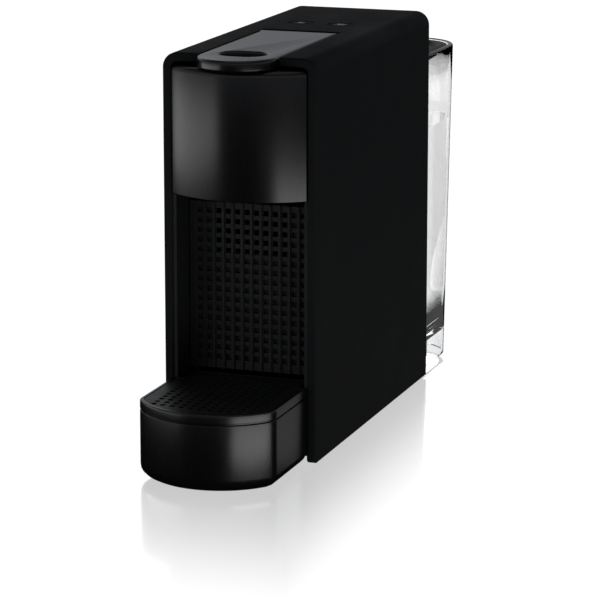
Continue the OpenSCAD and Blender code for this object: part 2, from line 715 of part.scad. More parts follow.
module drip_grid() color("#17181a") translate([0, 0, tray_h - 2.2]) difference() {
    linear_extrude(2) tray_plan(tray_wall - 0.1, support_back);
    for (i = [-5 : 5], j = [0 : 11])
        block([i * grid_pitch - 1.3, yf - tray_out + 9 + j * grid_pitch + abs(i) * 0.6, -1],
              [i * grid_pitch + 1.3, yf - tray_out + 12 + j * grid_pitch + abs(i) * 0.6, 3]);
}

module capsule_container() color("#17181a") difference() {
    block([-bin_x, bin_front + grille_t, bin_z], [bin_x, tray_back - 2, bin_top]);
    block([bin_t - bin_x, bin_front + grille_t + bin_t, bin_z + bin_t],
          [bin_x - bin_t, tray_back - 2 - bin_t, bin_top + 1]);
    block([-bin_x + 12, bin_front - 1, bin_z + 60], [bin_x - 12, bin_front + 8, bin_top + 1]);
}

module container_grille() color("#101113") {
    along_y(bin_front, grille_t) difference() {
        translate([-bin_x, bin_z]) square([2 * bin_x, bin_top - bin_z]);
        for (i = [-6 : 5], j = [0 : 3])
            translate([i * grid_pitch + 1.2, bin_z + 6 + j * 20]) square([2.6, 16]);
    }
}

// Plan of the tank with its two round rear corners
module tank_plan(inset) {
    half = tank_w / 2 - inset;
    r = tank_r - inset;
    translate([-half, tank_y0 + inset]) square([2 * half, tank_y1 - tank_r - tank_y0 - inset]);
    translate([-half + r, tank_y0 + inset]) square([2 * (half - r), tank_y1 - tank_y0 - 2 * inset]);
    for (s = [-1, 1]) translate([s * (half - r), tank_y1 - tank_r]) circle(r);
}

module water_tank() color("#dfeaf0", 0.4) difference() {
    translate([0, 0, tank_foot]) linear_extrude(tank_top - tank_foot) tank_plan(0);
    translate([0, 0, tank_floor + tank_wall]) linear_extrude(tank_top) tank_plan(tank_wall);
    translate([0, 0, tank_foot - 1]) linear_extrude(tank_floor - tank_foot + 1) tank_plan(tank_wall);
    block([tank_wall - tank_w / 2, tank_y0 - 1, 0], [tank_w / 2 - tank_wall, tank_y0 + 5, tank_floor]);
    translate([0, valve_y, 0]) cylinder(h = 30, r = valve_r / 2 + 0.3);
}

module tank_lid() color("#141518") translate([0, 0, tank_top - lid_sunk - lid_t]) {
    linear_extrude(lid_t) tank_plan(tank_wall + gap);
}

module tank_filter() color("#c9c9c4") translate([0, valve_y, tank_floor + tank_wall]) difference() {
    cylinder(h = 16, r = 8);
    translate([0, 0, -1]) cylinder(h = 16, r = 6.8);
    for (a = [0 : 45 : 315]) rotate(a) translate([5, -0.8, 2]) cube([5, 1.6, 10]);
}

module valve_poppet() color("#d8d8d2") translate([0, valve_y, dock_top]) {
    cylinder(h = 8, r = valve_r / 2);
    translate([0, 0, tank_floor + tank_wall - dock_top + 0.05]) cylinder(h = 2.5, r = 5.5);
}

outer_shell();
head_cover();
base_plate();
rear_panel();
recess_liner();
rubber_feet();
rear_panel_screws();
base_screws();
cord_gland();
brew_frame();
frame_brackets();
frame_screws();
piercing_plate();
outlet_spout();
capsule_chute();
thermoblock();
boiler_bracket();
thermal_fuse();
vibration_pump();
pump_mounts();
flow_meter_cup();
flow_meter_cover();
flow_impeller();
control_board();
button_board();
button_switches();
tank_socket();
socket_seal();
suction_hose();
meter_hose();
pressure_hose();
boiler_hose();
cage_hose();
lever();
lever_shaft();
cam_plate_left();
cam_plate_right();
capsule_cage();
cage_carriage();
cage_shoes();
injection_needles();
drive_pin();
cage_seal();
button_small_cup();
button_large_cup();
drip_base();
cup_support();
drip_grid();
capsule_container();
container_grille();
water_tank();
tank_lid();
tank_filter();
valve_poppet();
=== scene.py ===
"""Looks of a slim pod coffee machine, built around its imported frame. Everything is in metres."""

import bmesh
import bpy
import numpy as np
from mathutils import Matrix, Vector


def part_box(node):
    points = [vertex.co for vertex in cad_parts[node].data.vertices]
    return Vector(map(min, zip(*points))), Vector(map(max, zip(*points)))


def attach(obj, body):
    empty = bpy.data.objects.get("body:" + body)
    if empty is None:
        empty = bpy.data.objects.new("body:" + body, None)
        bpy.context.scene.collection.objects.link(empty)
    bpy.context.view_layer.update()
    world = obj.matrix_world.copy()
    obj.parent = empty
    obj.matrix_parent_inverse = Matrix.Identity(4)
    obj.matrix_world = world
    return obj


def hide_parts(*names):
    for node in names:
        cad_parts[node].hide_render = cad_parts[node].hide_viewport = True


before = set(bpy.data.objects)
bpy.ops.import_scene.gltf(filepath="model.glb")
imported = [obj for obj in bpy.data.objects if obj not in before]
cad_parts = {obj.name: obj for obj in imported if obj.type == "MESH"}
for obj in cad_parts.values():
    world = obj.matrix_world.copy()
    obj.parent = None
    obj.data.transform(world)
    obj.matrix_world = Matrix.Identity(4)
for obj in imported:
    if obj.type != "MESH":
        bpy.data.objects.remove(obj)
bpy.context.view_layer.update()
mm = 0.001


# ---- Studio --------------------------------------------------------------------------------------
# A white table that mirrors faintly, a white surround, and soft light boxes standing close to the
# machine. The black mouldings take their shape from what they reflect, so most boxes are there to be
# seen in them. The table and the surround are stage.

def linear(code):
    """An sRGB hex colour as linear RGBA: each channel goes through the sRGB curve."""
    srgb = np.array([int(code[i:i + 2], 16) for i in (1, 3, 5)]) / 255
    curve = np.where(srgb <= 0.04045, srgb / 12.92, ((srgb + 0.055) / 1.055) ** 2.4)
    return (*curve.tolist(), 1.0)


def add(tree, kind, values={}, links={}, **settings):
    """Adds one node. Settings are its properties, values its own inputs and links the sockets that feed
    it."""
    node = tree.nodes.new("ShaderNode" + kind)
    for name, value in settings.items():
        setattr(node, name, value)
    for name, value in values.items():
        node.inputs[name].default_value = value
    for name, source in links.items():
        tree.links.new(source, node.inputs[name])
    return node


def camera():
    """A long lens, turned a little to the right and looking slightly down on the machine."""
    data = bpy.data.cameras.new("camera")
    data.lens = 179.19
    data.sensor_width = 36
    data.shift_y = -0.0833
    data.clip_start = 0.05
    view = bpy.data.objects.new("camera", data)
    view.location = (0.50242, -1.45137, 0.4140)
    view.rotation_euler = np.radians([77.99, 0, 19.19])
    bpy.context.scene.collection.objects.link(view)
    bpy.context.scene.camera = view


def surround():
    """White where it is looked at. Through the clear tank it is brighter straight behind the machine,
    to make up for what the walls take, and greyer to the sides, so that the tank's bent light draws its
    edges. What the gloss sees is a dim band just above the horizon, under a dark ceiling."""
    gloss_brightness, eye_brightness = 0.36, 1.05
    behind_machine = (-0.32, 0.92, -0.2)
    world = bpy.data.worlds.new("surround")
    world.use_nodes = True
    tree = world.node_tree
    tree.nodes.clear()
    place = add(tree, "TexCoord")
    axes = add(tree, "SeparateXYZ", links={0: place.outputs["Generated"]})
    rise = add(tree, "MapRange", {1: -0.02, 2: 0.03, 3: 0.0, 4: 1.0}, {0: axes.outputs["Z"]},
               interpolation_type="SMOOTHSTEP")
    fall = add(tree, "MapRange", {1: 0.25, 2: 0.75, 3: 1.0, 4: 0.12}, {0: axes.outputs["Z"]},
               interpolation_type="SMOOTHSTEP")
    band = add(tree, "Math", links={0: rise.outputs[0], 1: fall.outputs[0]}, operation="MULTIPLY")
    strength = add(tree, "Math", {1: gloss_brightness}, {0: band.outputs[0]}, operation="MULTIPLY")
    seen_in_gloss = add(tree, "Background", {"Color": linear("#F4F8FF")},
                        {"Strength": strength.outputs[0]})
    ray = add(tree, "LightPath")
    from_camera, through_clear = ray.outputs["Is Camera Ray"], ray.outputs["Is Transmission Ray"]
    behind = add(tree, "VectorMath", {1: behind_machine}, {0: place.outputs["Generated"]},
                 operation="DOT_PRODUCT")
    extra = add(tree, "MapRange", {1: 0.3, 2: 0.7, 3: -0.4, 4: 0.95}, {0: behind.outputs["Value"]},
                interpolation_type="SMOOTHSTEP")
    brightness = add(tree, "Math", {2: eye_brightness}, {0: through_clear, 1: extra.outputs[0]},
                     operation="MULTIPLY_ADD")
    seen_straight = add(tree, "Background", {"Color": (1, 1, 1, 1)},
                        {"Strength": brightness.outputs[0]})
    straight = add(tree, "Math", links={0: from_camera, 1: through_clear}, operation="MAXIMUM")
    mix = add(tree, "MixShader", links={0: straight.outputs[0], 1: seen_in_gloss.outputs[0],
                                        2: seen_straight.outputs[0]})
    add(tree, "OutputWorld", links={"Surface": mix.outputs[0]})
    bpy.context.scene.world = world


def table():
    """A white table top: its own glow keeps it white, and a faint mirror adds the machine's dark image.
    The mirror fades with the distance from the machine's footprint. It is gone 70 mm beside the machine
    and 175 mm before and behind it."""
    half = 3.0
    corners = [(-half, -half, 0), (half, -half, 0), (half, half, 0), (-half, half, 0)]
    mesh = bpy.data.meshes.new("table_top")
    mesh.from_pydata(corners, [], [(0, 1, 2, 3)])
    top = bpy.data.objects.new("table_top", mesh)
    bpy.context.scene.collection.objects.link(top)
    lacquer = bpy.data.materials.new("white lacquered table")
    lacquer.use_nodes = True
    tree = lacquer.node_tree
    tree.nodes.clear()
    place = add(tree, "TexCoord")
    axes = add(tree, "SeparateXYZ", links={0: place.outputs["Object"]})
    across = add(tree, "Math", links={0: axes.outputs["X"]}, operation="ABSOLUTE")
    along = add(tree, "Math", links={0: axes.outputs["Y"]}, operation="ABSOLUTE")
    beside = add(tree, "MapRange", {1: 0.04, 2: 0.11}, {0: across.outputs[0]})
    before = add(tree, "MapRange", {1: 0.15, 2: 0.34}, {0: along.outputs[0]})
    far = add(tree, "Math", links={0: beside.outputs[0], 1: before.outputs[0]}, operation="MAXIMUM")
    faded = add(tree, "MapRange", {1: 0.0, 2: 1.0}, {0: far.outputs[0]},
                interpolation_type="SMOOTHSTEP")
    glow = add(tree, "Emission", {"Color": (1, 1, 1, 1), "Strength": 0.58})
    mirror = add(tree, "BsdfGlossy", {"Color": (1.32, 1.32, 1.32, 1), "Roughness": 0.13})
    both = add(tree, "AddShader", links={0: glow.outputs[0], 1: mirror.outputs[0]})
    plain = add(tree, "Emission", {"Color": (1, 1, 1, 1), "Strength": 1.06})
    surface = add(tree, "MixShader",
                  links={0: faded.outputs[0], 1: both.outputs[0], 2: plain.outputs[0]})
    add(tree, "OutputMaterial", links={"Surface": surface.outputs[0]})
    mesh.materials.append(lacquer)
    top.visible_glossy = False
    top.visible_shadow = False


def light_box(name, place, towards, size, power):
    """A white rectangular light that faces a point. The camera doesn't see it, and the gloss does."""
    data = bpy.data.lights.new(name, "AREA")
    data.shape = "RECTANGLE"
    data.size, data.size_y = size
    data.energy = power
    lamp = bpy.data.objects.new(name, data)
    lamp.location = place
    lamp.rotation_euler = facing(np.array(towards, float) - np.array(place, float))
    lamp.visible_camera = False
    bpy.context.scene.collection.objects.link(lamp)


def facing(direction):
    """The turn that points an object's own -Z along a direction and keeps its X level."""
    tilt = np.arccos(-direction[2] / np.linalg.norm(direction))
    turn = np.arctan2(direction[1], direction[0]) - np.pi / 2
    return (tilt, 0, turn)


camera()
surround()
table()
bpy.context.scene.view_settings.view_transform = "Standard"
light_box("left_box", (-0.57, -0.34, 0.065), (0, -0.10, 0.10), (0.80, 0.15), 0.75)
light_box("right_low_box", (0.40, -0.36, -0.07), (0.02, -0.12, 0.0), (0.46, 0.14), 0.62)
light_box("right_soft_box", (0.30, -0.52, 0.06), (0.0, -0.10, 0.12), (0.40, 0.10), 0.018)
light_box("rear_low_box", (0.22, 0.34, -0.09), (0.04, -0.13, 0.02), (0.30, 0.14), 0.03)
light_box("top_box", (0.0, -0.1, 1.3), (0, 0, 0.1), (1.2, 1.2), 1.0)
light_box("rear_left_box", (-0.75, 0.75, 0.75), (0, 0.05, 0.1), (0.9, 0.6), 0.7)


# ---- Outer shell ---------------------------------------------------------------------------------
# The first piece on the bench, because the rest slides into it: a sleeve of matt black ABS, injection
# moulded in one piece with a spark-eroded grain. It has a flat rim round its mouth and openings for the
# lever, two buttons and the cord. Four screws hold it to the rear panel.

def span(node):
    """Lowest and highest corner of a CAD node."""
    low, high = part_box(node)
    return np.array(low), np.array(high)


def arc(centre, radius, start, end, steps):
    """Points on a circle about a centre, from a start to an end angle in degrees."""
    angle = np.radians(np.linspace(start, end, steps))
    return np.array(centre) + radius * np.stack([np.cos(angle), np.sin(angle)], axis=1)


def circle(centre, radius, steps=48):
    """A full circle of points about a centre."""
    return arc(centre, radius, 0, 360, steps + 1)[:-1]


def arch(width, foot, top, radius):
    """An arch in X and Z: up the left side, a quarter circle on each shoulder, down the right side."""
    half = width / 2 - radius
    left = arc((-half, top - radius), radius, 180, 90, 10)
    right = arc((half, top - radius), radius, 90, 0, 10)
    return np.concatenate([[[-width / 2, foot]], left, right, [[width / 2, foot]]])


def rounded(width, depth, radius, centre=(0, 0), steps=8):
    """A rectangle in a plane with a quarter circle of one radius at each corner."""
    x, y = width / 2 - radius, depth / 2 - radius
    corners = [(x, y, 0), (-x, y, 90), (-x, -y, 180), (x, -y, 270)]
    turns = [arc((cx, cy), radius, start, start + 90, steps) for cx, cy, start in corners]
    return np.concatenate(turns) + np.array(centre)


def upright(outline, y):
    """An X-Z outline stood up at a depth y."""
    return np.stack([outline[:, 0], np.full(len(outline), y), outline[:, 1]], axis=1)


def flat(outline, z):
    """An X-Y outline laid down at a height z."""
    return np.column_stack([outline, np.full(len(outline), z)])


def sideways(outline, x):
    """A Y-Z outline stood at a place x."""
    return np.column_stack([np.full(len(outline), x), outline])


def loft(rings, closed=False):
    """Closed rings of equal length joined in turn by quads. The ends are capped, or joined if
    closed."""
    rings = np.asarray(rings)
    index = np.arange(rings.shape[0] * rings.shape[1]).reshape(rings.shape[:2])
    rows = np.concatenate([index, index[:1]]) if closed else index
    following = np.roll(rows, -1, axis=1)
    quads = np.stack([rows[:-1], following[:-1], following[1:], rows[1:]], axis=-1)
    caps = [] if closed else [index[0][::-1].tolist(), index[-1].tolist()]
    return rings.reshape(-1, 3), quads.reshape(-1, 4).tolist() + caps


def prism(outline, low, high):
    """An X-Y outline drawn up from one height to another."""
    return loft([flat(outline, low), flat(outline, high)])


def box(low, high):
    """A plain box between two corners, as points and faces."""
    low, high = np.array(low, float), np.array(high, float)
    corners = np.array([(0, 0), (1, 0), (1, 1), (0, 1)])
    return prism(low[:2] + corners * (high - low)[:2], low[2], high[2])


def solid(name, *parts):
    """One object from several closed parts, with every face turned outwards."""
    starts = np.cumsum([0] + [len(points) for points, faces in parts])
    points = np.concatenate([points for points, faces in parts])
    faces = [[i + start for i in face] for start, part in zip(starts, parts) for face in part[1]]
    mesh = bpy.data.meshes.new(name)
    mesh.from_pydata(points.tolist(), [], faces)
    turn_outwards(mesh)
    made = bpy.data.objects.new(name, mesh)
    bpy.context.scene.collection.objects.link(made)
    return made


def turn_outwards(mesh):
    """Merges doubled points and turns the faces of each closed part outwards."""
    work = bmesh.new()
    work.from_mesh(mesh)
    bmesh.ops.remove_doubles(work, verts=work.verts, dist=1e-7)
    bmesh.ops.recalc_face_normals(work, faces=work.faces)
    work.to_mesh(mesh)
    work.free()


def combine(piece, operation, *others):
    """Adds the others to a piece or takes them away from it, and removes them."""
    for other in others:
        step = piece.modifiers.new("combine", "BOOLEAN")
        step.operation = operation
        step.solver = "EXACT"
        step.object = other
    made = piece.evaluated_get(bpy.context.evaluated_depsgraph_get())
    mesh = bpy.data.meshes.new_from_object(made)
    piece.modifiers.clear()
    piece.data = mesh
    for other in others:
        bpy.data.objects.remove(other)


def soften(piece, width, angle=35):
    """Rounds each edge sharper than an angle by a width, and shades the piece smooth."""
    piece.data.polygons.foreach_set("use_smooth", np.ones(len(piece.data.polygons), bool))
    edge = piece.modifiers.new("edge", "BEVEL")
    edge.width = width
    edge.segments = 3
    edge.limit_method = "ANGLE"
    edge.angle_limit = np.radians(angle)
    edge.use_clamp_overlap = False
    edge.harden_normals = True


def shade(piece, angle=40):
    """Shades a piece smooth, and leaves each edge sharper than an angle crisp."""
    piece.data.polygons.foreach_set("use_smooth", np.ones(len(piece.data.polygons), bool))
    piece.data.set_sharp_from_angle(angle=np.radians(angle))


def material(name, **inputs):
    """A new material with one Principled shader. Inputs are its sockets' own values, by their names in
    words."""
    made = bpy.data.materials.new(name)
    made.use_nodes = True
    shader = made.node_tree.nodes["Principled BSDF"]
    for words, value in inputs.items():
        shader.inputs[words.replace("_", " ")].default_value = value
    return made, made.node_tree, shader


def per(size):
    """The texture scale that gives features of this size, in metres."""
    return 1 / size


def noise(tree, size, detail=2.0, stretch=(1, 1, 1)):
    """Noise with features of one size in metres, drawn out along an axis where stretch is below 1."""
    place = add(tree, "TexCoord")
    scaled = add(tree, "Mapping", {"Scale": stretch}, {"Vector": place.outputs["Object"]})
    return add(tree, "TexNoise", {"Scale": per(size), "Detail": detail}, {"Vector": scaled.outputs[0]})


def relief(tree, shader, height, depth):
    """Feeds a height of this depth in metres into the shader's normal."""
    bump = add(tree, "Bump", {"Strength": 1.0, "Distance": depth}, {"Height": height})
    tree.links.new(bump.outputs[0], shader.inputs["Normal"])


def vary(tree, shader, socket, source, low, high):
    """Drives a shader socket from a noise, between two values."""
    spread = add(tree, "MapRange", {1: 0.3, 2: 0.7, 3: low, 4: high}, {0: source})
    tree.links.new(spread.outputs[0], shader.inputs[socket])


def mottle(tree, shader, source, dark, pale):
    """Drives the base colour from a noise, between two colours."""
    spread = add(tree, "MapRange", {1: 0.3, 2: 0.7}, {0: source})
    tone = add(tree, "Mix", {6: linear(dark), 7: linear(pale)}, {0: spread.outputs[0]},
               data_type="RGBA")
    tree.links.new(tone.outputs[2], shader.inputs["Base Color"])


def matt_black_abs():
    """Matt black ABS with a spark-eroded grain. The real grain is 0.2 mm, too fine to see from here, so
    it is drawn at 0.7 mm. It scatters the light boxes into an even charcoal, hardly mirrors at all, and
    is a little worn and shiny in places."""
    made, tree, shader = material("matt black ABS, spark eroded", IOR=1.53, Specular_IOR_Level=0.05,
                                  Base_Color=linear("#111213"))
    grain = noise(tree, 0.7 * mm)
    handling = noise(tree, 45 * mm, detail=5)
    vary(tree, shader, "Roughness", handling.outputs[0], 0.62, 0.74)
    relief(tree, shader, grain.outputs[0], 0.035 * mm)
    return made


shell_low, shell_high = span("outer_shell")
lever_low, lever_high = span("lever")
shell_width = shell_high[0] - shell_low[0]
shell_wall = 2.5 * mm
rim = 4.5 * mm
rim_depth = 6 * mm
shoulder = 7.5 * mm
shell_edge = 0.9 * mm
lever_room = 0.5 * mm
matt_black = matt_black_abs()


def shell_ring(y, inset, margin, radius):
    """A band between the outer arch, drawn in by an inset, and an inner arch, a margin inside the
    shell."""
    foot, top = shell_low[2] + inset, shell_high[2]
    outer = arch(shell_width - 2 * inset, foot, top - inset, shoulder - inset)
    inner = arch(shell_width - 2 * margin, foot, top - margin, radius)
    return upright(np.concatenate([outer, inner[::-1]]), y)


def shell_body():
    """Stations along Y: a rounded front edge, the rim, a step out to the wall, and a rounded rear
    edge."""
    turn = np.radians(np.linspace(0, 90, 5))
    inset, depth = shell_edge * (1 - np.sin(turn)), shell_edge * (1 - np.cos(turn))
    mouth, inside = shell_low[1] + rim_depth, shoulder - shell_wall
    front = [shell_ring(shell_low[1] + d, i, rim - i, shoulder - rim + i)
             for i, d in zip(inset, depth)]
    step = [shell_ring(mouth, 0, rim, shoulder - rim), shell_ring(mouth, 0, shell_wall, inside)]
    rear = [shell_ring(shell_high[1] - d, i, shell_wall, inside)
            for i, d in zip(inset[::-1], depth[::-1])]
    return loft(front + step + rear)


def button_opening(button):
    """A rounded prism that is as wide as a button's cap with its running gap."""
    low, high = span(button)
    flange = 1 * mm
    size, centre = (high - low)[:2] - 2 * flange, (low + high)[:2] / 2
    outline = rounded(*size, 2.5 * mm, centre)
    return prism(outline, shell_high[2] - 2 * shell_wall, shell_high[2] + shell_wall)


def cord_hole():
    """A round prism through the side wall, just larger than the gland's neck."""
    low, high = span("cord_gland")
    collar = 1.8 * mm
    outline = circle((low[1:] + high[1:]) / 2, (high[2] - low[2]) / 2 - collar)
    ends = shell_low[0] - shell_wall, shell_low[0] + 2 * shell_wall
    return loft([sideways(outline, x) for x in ends])


outer_shell = solid("shell", shell_body())
behind_lever = 0.4 * mm
slot_low = (lever_low[0] - lever_room, shell_low[1] - shell_wall, shell_high[2] - 1.6 * shell_wall)
slot_high = (lever_high[0] + lever_room, lever_high[1] + behind_lever, shell_high[2] + shell_wall)
combine(outer_shell, "DIFFERENCE", solid("slot", box(slot_low, slot_high)),
        solid("openings", button_opening("button_small_cup"), button_opening("button_large_cup")),
        solid("cord_hole", cord_hole()))
shade(outer_shell)
outer_shell.data.materials.append(matt_black)
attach(outer_shell, "machine")
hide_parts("outer_shell")


# ---- Base, rear panel and feet -------------------------------------------------------------------
# The floor slides into the shell with the tank's dock on its tail, and a slotted panel closes the back.
# Both are of the shell's matt black ABS. Zinc-plated screws hold them, and they stand on rubber feet.

def dress(finish, *names):
    """Gives a finish to CAD nodes that keep their shape."""
    for name in names:
        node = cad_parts[name]
        for slot in node.material_slots:
            slot.material = finish


def zinc_plated_steel():
    """Zinc-plated steel, as screws and folded brackets have it: a bluish metal whose plating breaks
    into patches of about 2 mm, some brighter and some duller."""
    made, tree, shader = material("zinc-plated steel", Metallic=1.0)
    patch = noise(tree, 2 * mm, detail=3)
    mottle(tree, shader, patch.outputs[0], "#8B9298", "#B6BCC1")
    vary(tree, shader, "Roughness", patch.outputs[0], 0.28, 0.46)
    return made


def black_rubber():
    """Moulded black EPDM rubber: matt and slightly grey, with a skin that is pitted at about 0.6 mm."""
    made, tree, shader = material("black EPDM rubber", IOR=1.5)
    bloom = noise(tree, 8 * mm, detail=4)
    pit = noise(tree, 0.6 * mm)
    mottle(tree, shader, bloom.outputs[0], "#0D0D0D", "#1A1A1B")
    vary(tree, shader, "Roughness", bloom.outputs[0], 0.72, 0.9)
    relief(tree, shader, pit.outputs[0], 0.04 * mm)
    return made


zinc = zinc_plated_steel()
rubber = black_rubber()
dress(matt_black, "base_plate", "rear_panel", "tank_socket")
dress(zinc, "rear_panel_screws", "base_screws")
dress(rubber, "rubber_feet", "cord_gland")


# ---- Brewing group -------------------------------------------------------------------------------
# A frame of glass-filled polyamide, screwed to two steel blocks in the shell, holds the piercing plate
# and guides the capsule cage. The cage runs on acetal shoes. A steel pin in two cam plates moves it.

def glass_filled_polyamide():
    """Black polyamide with 30% glass fibre: charcoal, with the fibres' streaks along the flow of the
    melt. The streaks are 0.3 mm wide in truth and are drawn at 1 mm."""
    made, tree, shader = material("black polyamide, glass filled", IOR=1.53)
    streak = noise(tree, 1 * mm, detail=3, stretch=(1, 0.15, 0.15))
    mottle(tree, shader, streak.outputs[0], "#141517", "#26282B")
    vary(tree, shader, "Roughness", streak.outputs[0], 0.42, 0.6)
    relief(tree, shader, streak.outputs[0], 0.02 * mm)
    return made


def stainless_steel():
    """Stainless steel, punched or turned and then brushed: a neutral metal with fine lines across the
    machine. The lines stand 0.1 mm apart in truth and are drawn at 0.5 mm."""
    made, tree, shader = material("brushed stainless steel", Metallic=1.0)
    line = noise(tree, 0.5 * mm, detail=2, stretch=(0.04, 1, 1))
    mottle(tree, shader, line.outputs[0], "#A5A7A9", "#C3C5C6")
    vary(tree, shader, "Roughness", line.outputs[0], 0.2, 0.34)
    relief(tree, shader, line.outputs[0], 0.01 * mm)
    return made


def die_cast_aluminium():
    """Die-cast aluminium as it leaves the die: pale grey with darker flow clouds and a skin of 0.8 mm
    grains."""
    made, tree, shader = material("die-cast aluminium", Metallic=1.0)
    cloud = noise(tree, 9 * mm, detail=4)
    grain = noise(tree, 0.8 * mm)
    mottle(tree, shader, cloud.outputs[0], "#8D9092", "#B3B5B6")
    vary(tree, shader, "Roughness", cloud.outputs[0], 0.38, 0.56)
    relief(tree, shader, grain.outputs[0], 0.05 * mm)
    return made


def natural_acetal():
    """Natural acetal: an opaque ivory with a waxy sheen, a little uneven where the melt met."""
    made, tree, shader = material("natural acetal", IOR=1.48)
    cloud = noise(tree, 6 * mm, detail=3)
    mottle(tree, shader, cloud.outputs[0], "#D5D0C2", "#E9E5DA")
    vary(tree, shader, "Roughness", cloud.outputs[0], 0.28, 0.42)
    return made


def clear_silicone():
    """Platinum-cured silicone: milky, with some light coming through, and a surface that picks up
    dust."""
    made, tree, shader = material("milky silicone", IOR=1.41, Transmission_Weight=0.3)
    dust = noise(tree, 1.5 * mm, detail=4)
    mottle(tree, shader, dust.outputs[0], "#C4C7C3", "#E2E4E0")
    vary(tree, shader, "Roughness", dust.outputs[0], 0.3, 0.5)
    return made


polyamide = glass_filled_polyamide()
stainless = stainless_steel()
aluminium = die_cast_aluminium()
acetal = natural_acetal()
silicone = clear_silicone()
dress(zinc, "frame_brackets", "frame_screws")
dress(polyamide, "brew_frame", "cage_carriage")
dress(stainless, "piercing_plate", "injection_needles", "drive_pin")
dress(aluminium, "capsule_cage")
dress(acetal, "cage_shoes")
dress(silicone, "cage_seal", "cage_hose")
dress(matt_black, "outlet_spout", "capsule_chute")


# ---- Boiler, pump and flow meter -----------------------------------------------------------------
# Behind the brewing group: a die-cast block with a heater inside and a ceramic-bodied fuse on it, and a
# vibration pump with a copper coil in rubber mounts. Water reaches the pump through a small flow meter.

def enamelled_copper():
    """A coil of enamelled copper wire: reddish brown and glossy, in neat turns. The grooves between the
    turns are darker with painted shade. The wire is 0.35 mm thick in truth and its turns are drawn 1 mm
    apart."""
    made, tree, shader = material("enamelled copper winding", Metallic=0.7)
    wave_period = 0.314
    place = add(tree, "TexCoord")
    turns = add(tree, "TexWave", {"Scale": wave_period * per(1 * mm)},
                {"Vector": place.outputs["Object"]}, wave_type="BANDS", bands_direction="Y")
    # Painted shade: the colour darkens in the grooves between the turns, where the bump is low. The
    # crowns keep the copper's own brown, and the turns themselves are real in the bump and the
    # roughness.
    mottle(tree, shader, turns.outputs[1], "#6E3A1C", "#B8703E")
    vary(tree, shader, "Roughness", turns.outputs[1], 0.4, 0.24)
    relief(tree, shader, turns.outputs[1], 0.12 * mm)
    return made


def steatite():
    """Steatite ceramic: an unglazed, chalky cream with specks of about 0.5 mm."""
    made, tree, shader = material("unglazed steatite ceramic", IOR=1.55)
    speck = noise(tree, 0.5 * mm, detail=3)
    mottle(tree, shader, speck.outputs[0], "#D3CDBF", "#ECE8DE")
    vary(tree, shader, "Roughness", speck.outputs[0], 0.58, 0.72)
    return made


def blue_acetal():
    """Acetal dyed blue, so that the wheel can be seen to turn: waxy, and paler where it is thin."""
    made, tree, shader = material("blue acetal", IOR=1.48)
    cloud = noise(tree, 4 * mm, detail=3)
    mottle(tree, shader, cloud.outputs[0], "#1D4A93", "#2E66B8")
    vary(tree, shader, "Roughness", cloud.outputs[0], 0.3, 0.44)
    return made


dress(aluminium, "thermoblock")
dress(zinc, "boiler_bracket")
dress(steatite(), "thermal_fuse")
dress(enamelled_copper(), "vibration_pump")
dress(rubber, "pump_mounts")
dress(acetal, "flow_meter_cup", "flow_meter_cover")
dress(blue_acetal(), "flow_impeller")
dress(silicone, "socket_seal", "suction_hose", "meter_hose", "pressure_hose", "boiler_hose")


# ---- Circuit boards ------------------------------------------------------------------------------
# Two glass-epoxy boards under a green solder mask: the control board on the left wall, and a small one
# under the buttons with two black switches on it.

def solder_mask():
    """Green solder mask over etched copper. The tracks show as paler lines, 6 mm long and 2 mm apart:
    coarser than real tracks, which would be too fine to see."""
    made, tree, shader = material("green solder mask", IOR=1.55)
    place = add(tree, "TexCoord")
    axes = add(tree, "SeparateXYZ", links={0: place.outputs["Object"]})
    across = add(tree, "Math", links={0: axes.outputs["X"], 1: axes.outputs["Z"]}, operation="ADD")
    board = add(tree, "CombineXYZ", links={"X": across.outputs[0], "Y": axes.outputs["Y"]})
    tracks = add(tree, "TexBrick", {"Scale": 1.0, "Brick Width": 6 * mm, "Row Height": 2 * mm,
                                    "Mortar Size": 0.3 * mm, "Color1": (0, 0, 0, 1),
                                    "Color2": (0, 0, 0, 1), "Mortar": (1, 1, 1, 1)},
                 {"Vector": board.outputs[0]})
    mottle(tree, shader, tracks.outputs["Color"], "#123F26", "#2C7A4A")
    vary(tree, shader, "Roughness", tracks.outputs["Color"], 0.34, 0.24)
    relief(tree, shader, tracks.outputs["Color"], 0.05 * mm)
    return made


dress(solder_mask(), "control_board", "button_board")
dress(polyamide, "button_switches")


# ---- Head cover ----------------------------------------------------------------------------------
# The bulging nose over the brewing group: gloss black ABS, polished in the tool, so that it mirrors the
# light boxes. It is a tub with its open side towards the machine, clipped into the shell's mouth.

def gloss_black_abs():
    """Gloss black ABS from a polished tool: nearly black itself, with a clear mirror on it. The mirror
    waves very slightly over 12 mm, as moulded gloss does, and fine wiping marks dull it here and
    there."""
    made, tree, shader = material("gloss black ABS, polished", IOR=1.53, Base_Color=linear("#050506"))
    wave = noise(tree, 12 * mm, detail=1)
    wiping = noise(tree, 1.4 * mm, detail=4, stretch=(1, 1, 0.12))
    vary(tree, shader, "Roughness", wiping.outputs[0], 0.26, 0.275)
    relief(tree, shader, wave.outputs[0], 0.02 * mm)
    return made


def bulged_plan(low, high, radius, inset, back):
    """A round front of one radius, straight sides and a flat back, all drawn in by an inset."""
    half = high[0] - inset
    reach = np.degrees(np.arcsin(half / (radius - inset)))
    nose = arc((0, low[1] + radius), radius - inset, 270 - reach, 270 + reach, 49)
    return np.concatenate([nose, [[half, back], [-half, back]]])


def rounded_stack(plan, bottom, top, foot_round, top_round, steps=6):
    """Plans stacked from bottom to top. They are drawn in along a quarter circle at each end."""
    turn = np.radians(np.linspace(0, 90, steps))
    draw, rise = 1 - np.sin(turn), 1 - np.cos(turn)
    low = [flat(plan(foot_round * d), bottom + foot_round * r) for d, r in zip(draw, rise)]
    high = [flat(plan(top_round * d), top - top_round * r) for d, r in zip(draw[::-1], rise[::-1])]
    return loft(low + high)


